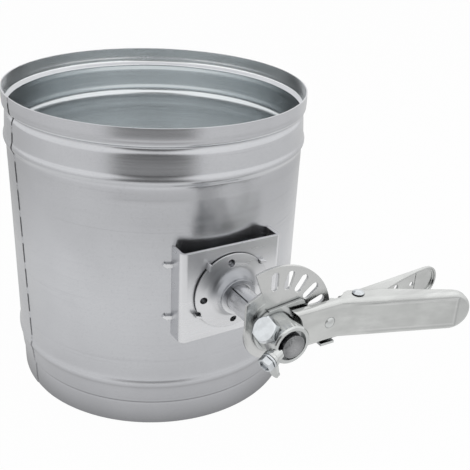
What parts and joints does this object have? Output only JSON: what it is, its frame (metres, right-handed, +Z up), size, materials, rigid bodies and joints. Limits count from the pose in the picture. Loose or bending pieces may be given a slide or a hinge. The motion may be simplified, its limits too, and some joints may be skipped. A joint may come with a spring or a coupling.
{
  "type": "stove pipe damper",
  "caption": "Round sheet-steel flue section with a turning disc on a cross shaft, set by a side lever whose squeeze trigger locks into a slotted quadrant",
  "frame": {"origin": "centre of the lower rim plane, on the pipe axis", "axes": "Z up along the pipe axis, -Y out of the front along the damper shaft, +X along the lever when the damper is closed"},
  "size_m": [0.2926, 0.3885, 0.26],
  "materials": {
    "galvanised_sheet": "galvanised sheet, soft satin with faint streaks",
    "blade_sheet": "galvanised sheet, satin",
    "plated_sheet": "zinc plated, satin",
    "plated_plate": "zinc plated plate, satin",
    "lever_steel": "zinc plated, satin",
    "handle_sheet": "pressed sheet, zinc plated, satin",
    "shaft_steel": "turned steel, dull",
    "zinc_screws": "bright zinc",
    "rivet_aluminium": "bright",
    "spring_wire": "drawn wire"
  },
  "bodies": {
    "pipe": {"pipe_shell": "galvanised_sheet", "bracket": "plated_sheet", "bearing_plate": "plated_sheet", "shaft_sleeve": "plated_sheet", "quadrant": "plated_plate", "quadrant_collar": "plated_plate", "rear_bearing": "plated_sheet", "rear_rivets": "rivet_aluminium"},
    "lever": {"shaft": "shaft_steel", "damper_blade": "blade_sheet", "blade_screws": "zinc_screws", "blade_washers": "zinc_screws", "rear_washer": "zinc_screws", "rear_pin": "zinc_screws", "hub": "lever_steel", "lever_arm": "lever_steel", "clamp_bolt": "zinc_screws", "side_screw": "zinc_screws", "side_washer": "zinc_screws", "arm_spacer": "lever_steel", "arm_rivet": "lever_steel", "handle": "handle_sheet", "trigger_pin": "zinc_screws", "trigger_spring": "spring_wire"},
    "trigger": {"trigger": "handle_sheet"}
  },
  "joints": [
    {"name": "damper_turn", "type": "hinge", "parent": "pipe", "child": "lever", "pos_m": [0, 0, 0.129], "axis": [0, -1, 0], "range_deg": [0, 90]},
    {"name": "trigger_squeeze", "type": "hinge", "parent": "lever", "child": "trigger", "pos_m": [0.0703, -0.2043, 0.129], "axis": [0, 0, -1], "range_deg": [-3.7, 14], "stiffness_Nm_per_rad": 0.3}
  ]
}
